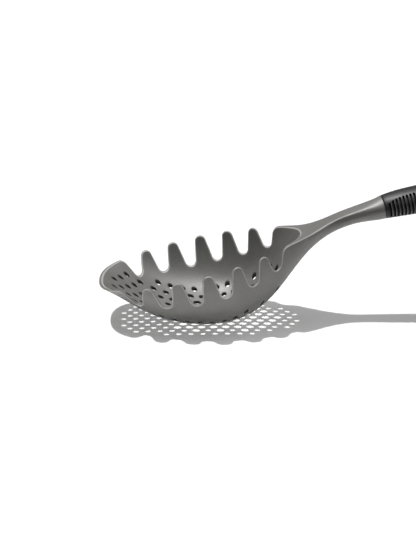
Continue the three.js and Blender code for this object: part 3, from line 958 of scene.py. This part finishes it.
def mouldedMaterial(name, look):
    material, nodes, shader = newMaterial(name)
    cloud = nodes.noise(look["cloudScale"], moulding["cloudDetail"])
    grain = nodes.noise(look["grainScale"], moulding["grainDetail"])
    speckle = cloud * 0.5 + grain * 0.5
    colour = nodes.ramp(speckle, zip(moulding["ramp"], (look["dark"], look["light"])))
    edge = nodes.add("ShaderNodeAttribute", attribute_name="edge")["Fac"]
    # lighter where edges are worn and carry a painted highlight, darker down in holes and slots with
    # painted shade
    for share, end in ((look["wear"], look["worn"]), (-look["pit"], look["pitted"])):
        colour = nodes.mixColours((edge * share).maths("MAXIMUM"), colour, (*end, 1))
    low, high = look["roughness"]
    grained = nodes.add("ShaderNodeMapRange", {"Value": grain, "To Min": low, "To Max": high})
    waves = nodes.add("ShaderNodeBump", {
        "Height": cloud, "Strength": look["waviness"], "Distance": moulding["waveHeight"]})
    fine = nodes.add("ShaderNodeBump", {
        "Height": grain, "Strength": look["grain"], "Distance": moulding["grainHeight"], "Normal": waves})
    nodes.feed(shader, {"Base Color": colour, "Specular IOR Level": look["specular"], "Normal": fine,
                        "Roughness": grained.maths("MAXIMUM", edge * -moulding["pitRoughness"])})
    return material


# the edge colours stand for wear plus a painted highlight on rounded edges; the colours in cuts are painted
# shade in holes and slots
greyNylon = mouldedMaterial("greyNylon", {
    "dark": (0.175, 0.172, 0.163), "light": (0.245, 0.241, 0.228),
    "worn": (0.62, 0.61, 0.585), "wear": 0.9, "pitted": (0.02, 0.02, 0.019), "pit": 0.9,
    "cloudScale": 60, "grainScale": 1500, "roughness": (0.42, 0.58),
    "waviness": 0.05, "grain": 0.6, "specular": 1.0})
softBlack = mouldedMaterial("softBlack", {
    "dark": (0.024, 0.024, 0.025), "light": (0.036, 0.036, 0.037),
    "worn": (0.4, 0.4, 0.4), "wear": 0.9, "pitted": (0.003, 0.003, 0.003), "pit": 1.0,
    "cloudScale": 80, "grainScale": 1800, "roughness": (0.42, 0.56),
    "waviness": 0.04, "grain": 0.3, "specular": 0.5})
corePlastic = mouldedMaterial("corePlastic", {
    "dark": (0.05, 0.05, 0.05), "light": (0.07, 0.07, 0.07),
    "worn": (0.1, 0.1, 0.1), "wear": 0.4, "pitted": (0.01, 0.01, 0.01), "pit": 0.5,
    "cloudScale": 70, "grainScale": 2400, "roughness": (0.4, 0.55),
    "waviness": 0.05, "grain": 0.3, "specular": 0.5})


# turns the drawing onto its belly, in metres
def makeStand():
    tilt = math.radians(pose["rimTilt"])
    sine, cosine = math.sin(tilt), math.cos(tilt)
    lowest = float((floorLine[:, 0] * sine + floorLine[:, 1] * cosine).min())
    restHeight = lowest + pose["restDepth"]
    station = pose["landHole"] * drain["pitch"] - drain["lead"]
    height = (restHeight - station * sine) / cosine
    shift = Vector((height * sine - station * cosine, 0, -restHeight))
    return Matrix.Scale(0.001, 4) @ Matrix.Translation(shift) @ Matrix.Rotation(-tilt, 4, "Y")


stand = makeStand()


def place(name, mesh, material):
    mesh.transform(stand)
    for vertex in mesh.vertices:
        vertex.co.z = max(vertex.co.z, 0)
    mesh.name = name
    spent = [a.name for a in mesh.attributes if a.domain == "POINT" and a.name not in ("position", "edge")]
    for key in spent:
        if not key.startswith("."):
            mesh.attributes.remove(mesh.attributes[key])
    mesh.materials.clear()
    mesh.materials.append(material)
    print(name, "finished:", len(mesh.polygons), "faces")
    return addObject(name, mesh)


drainHelpers = {"Places": drainPoints(), "Drill": drillBlank()}
headDone = runTree(headMesh, drainTree(), drainHelpers, {"Edge": drain["edge"], **finishValues(greyNylon)})
scoopHead = place("scoopHead", headDone, greyNylon)


grip = {
    "clearance": 0.3,
    "length": 165,
    "widest": 95,
    "halfWidth": 13.2,
    "sideStart": 1.8,          # slopes at the front, in mean slopes
    "underStart": 1.5,
    "top": 9.5,
    "bottom": -8.6,
    "shoulder": 12,
    "shoulderRise": 0.9,
    "endHalfWidth": 12.4,
    "endDrop": 0.6,
    "endRound": 20,
    "endRows": 24,
    "lipRound": 0.5,           # rounding of the front edge
    "lipRows": 5,
    "hangHole": 11,
    "hangInset": 18,
    "hangRound": 1.1,
    "hangSides": 64,
    "row": 1.3,                # between the mesh's rings
    "facets": 112,
}
grip["start"] = neck["collar"] + grip["clearance"]
grip["end"] = grip["start"] + grip["length"]
grip["hang"] = grip["end"] - grip["hangInset"]


# half width, middle height and half height
def gripSection(x):
    along = np.maximum(0, np.asarray(x, float) - grip["start"])
    swell = np.clip(along / grip["shoulder"], 0, 1)
    shoulder = grip["shoulderRise"] * swell * (2 - swell)
    widest, length, rise = grip["widest"], grip["length"], grip["shoulderRise"]
    opening = (grip["halfWidth"] - neck["collarHalfWidth"]) / widest
    deepening = (grip["bottom"] - neck["collarBottom"]) / widest

    def grow(start, end, rearEnd, slope, raised):
        ahead = hermite(along, 0, start, slope, widest, end - raised, 0) + shoulder * (raised > 0)
        return np.where(along < widest, ahead, hermite(along, widest, end, 0, length, rearEnd, 0))

    half = grow(neck["collarHalfWidth"], grip["halfWidth"], grip["endHalfWidth"],
                grip["sideStart"] * opening, rise)
    top = grow(neck["collarTop"], grip["top"], grip["top"] - grip["endDrop"], 0, rise)
    bottom = grow(neck["collarBottom"], grip["bottom"], grip["bottom"] + grip["endDrop"],
                  grip["underStart"] * deepening, 0)
    past = np.clip((along - length + grip["endRound"]) / grip["endRound"], 0, 1)
    close = np.sqrt(np.maximum(0, 1 - past**2))
    return half * close, (top + bottom) / 2, (top - bottom) / 2 * close


# the grip's section, drawn in by an inset
def gripRing(x, inset, facets):
    half, middle, high = gripSection(x)
    angles = circle(facets)
    return columns(x, (half - inset) * np.cos(angles), middle + (high - inset) * np.sin(angles))


def buildGrip():
    shell = Shell("edge")
    start, lip = grip["start"], grip["lipRound"]
    turn = np.linspace(0, math.pi / 2, grip["lipRows"])[:-1]
    straightEnd = grip["end"] - grip["endRound"]
    straight = np.linspace(start + lip, straightEnd, round((straightEnd - start) / grip["row"]))
    curve = straightEnd + grip["endRound"] * np.sin(np.linspace(0, math.pi / 2, grip["endRows"]))
    stations = [(start + lip * (1 - math.cos(a)), lip * (1 - math.sin(a))) for a in turn]
    stations += [(x, 0) for x in np.concatenate([straight, curve[1:-1]])]
    rings = [shell.add(gripRing(x, inset, grip["facets"])) for x, inset in stations]
    shell.loft(rings, closed=True)
    for ring, x in ((rings[0], start), (rings[-1], grip["end"])):
        shell.fan(ring, (x, 0, gripSection(x)[1]))
    return shell


# hang hole's cutter; its rims follow the grip's top and underside
def hangCutter():
    shell = Shell()
    angles = circle(grip["hangSides"])
    d = grip["hangRound"]
    rims = [(1.7, 1.0), (0.3, -0.3), (0.08, -0.65), (0.0, -1.1)]   # flare, level
    rings = []
    for side, levels in ((1, rims), (-1, rims[::-1])):
        for flare, level in levels:
            radius = grip["hangHole"] / 2 + flare * d
            x, y = grip["hang"] + radius * np.cos(angles), radius * np.sin(angles)
            half, middle, high = gripSection(x)
            z = middle + side * (high * np.sqrt(1 - (y / half)**2) + level * d)
            rings.append(shell.add(columns(x, y, z)))
    shell.tube(rings)
    return shell


# hollow that holds the core
core = {
    "frontHalfWidth": 6.2,
    "rearHalfWidth": 9,
    "thickness": 7.4,
    "eyeLining": 2,
    "eyeRing": 3,
    "eyeLead": 32,
    "eyeSides": 32,
    "endSteps": 21,
    "sleeveWall": 2.2,         # least soft wall over the core
    "limitFacets": 48,
    "limitRows": (40, 13),     # along the straight and round the end
}


def coreHollow():
    shell = Shell()
    gap, start, hang = grip["clearance"], grip["start"], grip["hang"]
    front, lead = start - 2 * gap, hang - core["eyeLead"]
    eye = grip["hangHole"] / 2 + core["eyeLining"] - gap
    outerRadius = eye + core["eyeRing"] + 2 * gap
    turn = np.linspace(-math.pi / 2, math.pi / 2, core["endSteps"])
    end = columns(hang + outerRadius * np.cos(turn), outerRadius * np.sin(turn))
    frontHalf, rearHalf = core["frontHalfWidth"] + gap, core["rearHalfWidth"] + gap
    outline = np.array([(front, -frontHalf), (lead, -rearHalf), *end, (lead, rearHalf), (front, frontHalf)])
    angles = circle(core["eyeSides"])
    flat = np.vstack([outline, columns(hang + eye * np.cos(angles), eye * np.sin(angles))])
    n = len(outline)
    faces = triangulate(flat, [range(n), range(n, len(flat))])
    # leaves out the faces that fill the eye
    faces = [f for f in faces if math.hypot(*(flat[f].mean(axis=0) - (hang, 0))) > eye * 0.99]
    drop = math.atan2(handleAxis - gripSection(hang)[1], hang - start)
    levels = []
    for side in (1, -1):
        along, up = flat[:, 0] - start, side * (core["thickness"] / 2 + gap)
        x = start + along * math.cos(drop) + up * math.sin(drop)
        z = handleAxis - along * math.sin(drop) + up * math.cos(drop)
        level = shell.add(columns(x, flat[:, 1], z))
        shell.faces += [[level[k] for k in face] for face in faces]
        levels.append(level)
    for span in (slice(n), slice(n, None)):
        shell.loft([level[span] for level in levels], closed=True)
    return shell


# the hollow stays inside this body, which leaves the soft wall round it
def hollowLimit():
    shell = Shell()
    wall = core["sleeveWall"]
    straightRows, endRows = core["limitRows"]
    straight = np.linspace(grip["start"] - wall, grip["end"] - grip["endRound"], straightRows)
    rounded = np.linspace(straight[-1], grip["end"] - wall, endRows)[1:-2]
    shell.tube([shell.add(gripRing(x, wall - grip["clearance"], core["limitFacets"]))
                for x in np.concatenate([straight, rounded])])
    return shell


# fins: slots across the sides, inside an oval panel that wraps the section
fins = {
    "pitch": 2.0,
    "width": 1.15,
    "depth": 1.5,
    "edge": 0.3,
    "panelFront": 1.8,
    "panelLength": 42,
    "panelPower": 2.2,
    "upper": (20, 52),         # degrees up the section, at the panel's ends and middle
    "lower": (-38, -74),
    "stations": 9,             # along a slot, between its ends
}


def finPoints():
    shell = Shell("half", "middle", "high", "upper", "lower", "side")
    count = int(fins["panelLength"] / fins["pitch"])
    centre = grip["start"] + fins["panelFront"] + fins["panelLength"] / 2
    for k in range(count):
        x = centre + (k - (count - 1) / 2) * fins["pitch"]
        out = abs(x - centre) / (fins["panelLength"] / 2)
        oval = (1 - out**fins["panelPower"])**(1 / fins["panelPower"])
        half, middle, high = gripSection(x)
        upper, lower = (math.radians(lerp(*fins[key], oval)) for key in ("upper", "lower"))
        for side in (1, -1):
            shell.add([(x, 0, 0)], half=half, middle=middle, high=high, upper=upper, lower=lower, side=side)
    return shell.mesh("finPoints")


# one slot as it lies on the +y side, in stations that narrow at its ends
def slotBlank():
    shell = Shell("along", "across", "flare", "lift", "deep", "edge")
    ends = [(0, 0.25, 0.3), (0.008, 0.62, 0.7), (0.02, 0.88, 0.92), (0.042, 1, 1)]   # along, width, depth
    stations = ends + [(t, 1, 1) for t in np.linspace(0.1, 0.9, fins["stations"])]
    stations += [(1 - along, width, depth) for along, width, depth in reversed(ends)]
    # half of the slot's section: side, flare and lift in edge roundings, share of the depth, edge (1 on the
    # rounded mouth for wear and a painted highlight, -1 down in the slot for painted shade)
    half = [(1, 1.7, 1, 0, 0), (1, 0.35, -0.35, 0, 1), (1, 0, -1, 0, 0), (1, 0, 1, 1, -1),
            (0.5, 0, 0, 1, -1)]
    outline = half + [(-side, -flare, *rest) for side, flare, *rest in reversed(half)]
    side, flare, lift, deep, edge = np.array(outline, float).T
    rings = []
    for along, width, depth in stations:
        points = columns(side + flare * fins["edge"], lift * fins["edge"] - deep * fins["depth"], -along)
        rings.append(shell.add(points, along=along, across=side * width, flare=flare, lift=lift,
                               deep=deep * depth, edge=edge))
    shell.tube(rings)
    return shell.mesh("slotBlank")


def finTree():
    nodes, start = newTree("finSlots", {
        "Places": "Object", "Slot": "Object", "Hollow": "Object", "Limit": "Object", "Hang hole": "Object",
        "Width": "Float", "Depth": "Float", "Edge": "Float", **finishInputs})
    shapes = {key: nodes.shapeOf(start[key]) for key in ("Places", "Slot", "Hollow", "Limit", "Hang hole")}
    named, edge, side = nodes.named, start["Edge"], nodes.named("side")
    here = nodes.split(nodes.add("GeometryNodeInputPosition"))
    points = nodes.store(shapes["Places"], "station", here[0])
    slots = nodes.copiesAt(points, shapes["Slot"])
    half, high = named("half"), named("high")
    angle = nodes.mix(named("along"), named("upper"), named("lower"))
    cosine, sine = angle.maths("COSINE"), angle.maths("SINE")
    out = nodes.split(nodes.vector("NORMALIZE", nodes.join(0.0, cosine / half, sine / high)))
    lift = named("lift") * edge - named("deep") * start["Depth"]
    x = named("station") + named("across") * start["Width"] * 0.5 + named("flare") * edge
    y = half * cosine + out[1] * lift
    z = high * sine + out[2] * lift
    slots = nodes.moveTo(slots, nodes.join(x, y * side, z + named("middle")))
    turned = nodes.add("GeometryNodeFlipFaces", {"Mesh": slots, "Selection": side.maths("LESS_THAN")})
    common = nodes.solids("INTERSECT", {"Mesh 2": [shapes["Hollow"], shapes["Limit"]]})
    hollowed = nodes.cutAway(start["Geometry"], common)
    holed = nodes.cutAway(hollowed, shapes["Hang hole"])
    return finishTree(nodes, start, nodes.cutAway(holed, turned))


gripHelpers = {
    "Places": finPoints(),
    "Slot": slotBlank(),
    "Hollow": coreHollow().mesh("gripHollow"),
    "Limit": hollowLimit().mesh("gripHollowLimit"),
    "Hang hole": hangCutter().mesh("gripHang"),
}
gripDone = runTree(buildGrip().mesh("softGrip"), finTree(), gripHelpers, {
    "Width": fins["width"], "Depth": fins["depth"], "Edge": fins["edge"], **finishValues(softBlack)})
softGrip = place("softGrip", gripDone, softBlack)

for piece, node, slot in ((scoopHead, "scoop_head", "grey_nylon"), (softGrip, "soft_grip", "soft_black")):
    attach(piece, "root")
    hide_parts(node)
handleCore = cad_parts["handle_core"]
handleCore.data.materials.clear()
handleCore.data.materials.append(corePlastic)

# floor: the camera sees white paper; to the scoop's rays the paper is a painted pool of light near by and
# painted dark beyond it, and a ring of it glows to light the scoop
paper = {
    "half": 6,
    "cloudScale": 8,
    "cloudDetail": 2,
    "colours": ((0.3, (0.9, 0.9, 0.9)), (0.7, (0.92, 0.92, 0.92))),
    "away": (0.04, 0.04, 0.04, 1),     # painted shade: colour that the scoop gets from the paper afar
    "roughness": 0.9,
    "stretch": (0.7, 1, 1),    # of the pool of light
    "pool": (0.16, 0.08),      # distance at which it ends, and at which it is full
    "ring": (0.04, 0.075),     # and where its glow starts
    "ringGlow": 0.6,
    "seenGlow": 0.2,           # evens out the shadow for the camera
}


def floorMaterial():
    material, nodes, shader = newMaterial("floorPaper")
    rays = nodes.add("ShaderNodeLightPath")
    seen = rays["Is Camera Ray"]
    spot = nodes.vector("MULTIPLY", nodes.add("ShaderNodeTexCoord")["Object"], paper["stretch"])
    distance = nodes.vector("LENGTH", spot)["Value"]

    def fadeBetween(none, full):
        return nodes.add("ShaderNodeMapRange", {"Value": distance, "From Min": none, "From Max": full},
                         interpolation_type="SMOOTHSTEP")

    white = nodes.ramp(nodes.noise(paper["cloudScale"], paper["cloudDetail"]), paper["colours"])
    lit = fadeBetween(*paper["pool"])
    # the paper glows for diffuse rays in a ring round the bowl, lighting the scoop although it is no lamp
    glow = rays["Is Diffuse Ray"] * (lit * fadeBetween(*paper["ring"])) * paper["ringGlow"]
    nodes.feed(shader, {
        "Base Color": nodes.mixColours(seen.maths("MAXIMUM", lit), paper["away"], white),
        "Roughness": paper["roughness"], "Specular IOR Level": 0, "Emission Color": (1, 1, 1, 1),
        "Emission Strength": glow + seen * paper["seenGlow"]})
    return material


far = paper["half"]
corners = [(-far, -far, 0), (far, -far, 0), (far, far, 0), (-far, far, 0)]
floorMesh = plainMesh("floor", corners, [(0, 1, 2, 3)], {})
floorMesh.materials.append(floorMaterial())
floor = addObject("floor", floorMesh)
floor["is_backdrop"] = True

# a sun, a soft sky overhead and from the right, and a disc that only shows as a highlight in the bowl
light = {
    "sky": (((0, 0.05, 1), 12, 1.0), ((0.7, 0.1, 0.7), 3, 0.3)),   # aim, narrowness, strength
    "sun": 2.6,
    "sunSpread": 1.5,
    "sunWay": (0.27, -0.08, -1),
    "disc": 3.2,
    "discSize": 0.35,
    "discPlace": (0.11, -0.05, 0.9),
}


# dark towards the camera, white where the camera sees it
def makeWorld():
    world = bpy.data.worlds.new("studio")
    world.use_nodes = True
    nodes = Nodes(world.node_tree)
    way = nodes.add("ShaderNodeTexCoord")["Generated"]
    lobes = []
    for aim, narrow, strength in light["sky"]:
        facing = nodes.vector("DOT_PRODUCT", way, Vector(aim).normalized())["Value"]
        lobes.append(facing.maths("MAXIMUM").maths("POWER", narrow) * strength)
    seen = nodes.add("ShaderNodeLightPath")["Is Camera Ray"]
    level = nodes.mix(seen, lobes[0] + lobes[1], 1.0)
    nodes.feed(world.node_tree.nodes["Background"], {"Color": (1, 1, 1, 1), "Strength": level})
    return world


def addLamp(name, kind, energy, way):
    lamp = bpy.data.lights.new(name, kind)
    lamp.energy = energy
    thing = addObject(name, lamp)
    thing.rotation_mode = "QUATERNION"
    thing.rotation_quaternion = Vector(way).to_track_quat("-Z", "Y")
    return thing


bpy.context.scene.world = makeWorld()
sun = addLamp("key", "SUN", light["sun"], light["sunWay"])
sun.data.angle = math.radians(light["sunSpread"])
disc = addLamp("disc", "AREA", light["disc"], -Vector(light["discPlace"]))
disc.data.shape = "DISK"
disc.data.size = light["discSize"]
disc.location = light["discPlace"]
disc.visible_diffuse = False

# camera fitted to the photo
view = {
    "lens": 88.55,
    "sensor": 36,
    "clip": (0.01, 30),
    "place": (-0.04228, -0.7038, 0.225),
    "right": (0.99847, -0.05485, 0.00670),
    "up": (0.00826, 0.26806, 0.96337),
    "back": (-0.05463, -0.96184, 0.26811),
}
cameraData = bpy.data.cameras.new("camera")
cameraData.lens = view["lens"]
cameraData.sensor_width = view["sensor"]
cameraData.clip_start, cameraData.clip_end = view["clip"]
camera = addObject("camera", cameraData)
turn = Matrix((view["right"], view["up"], view["back"])).transposed()
camera.matrix_world = Matrix.Translation(view["place"]) @ turn.to_4x4()
bpy.context.scene.camera = camera
bpy.context.scene.view_settings.view_transform = "Standard"
print("floor, light and camera set")

sizes = {"cad": cadBox, "visual": [list(corner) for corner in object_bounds()]}
print("size:", [round(b - a, 4) for a, b in zip(*sizes["visual"])])
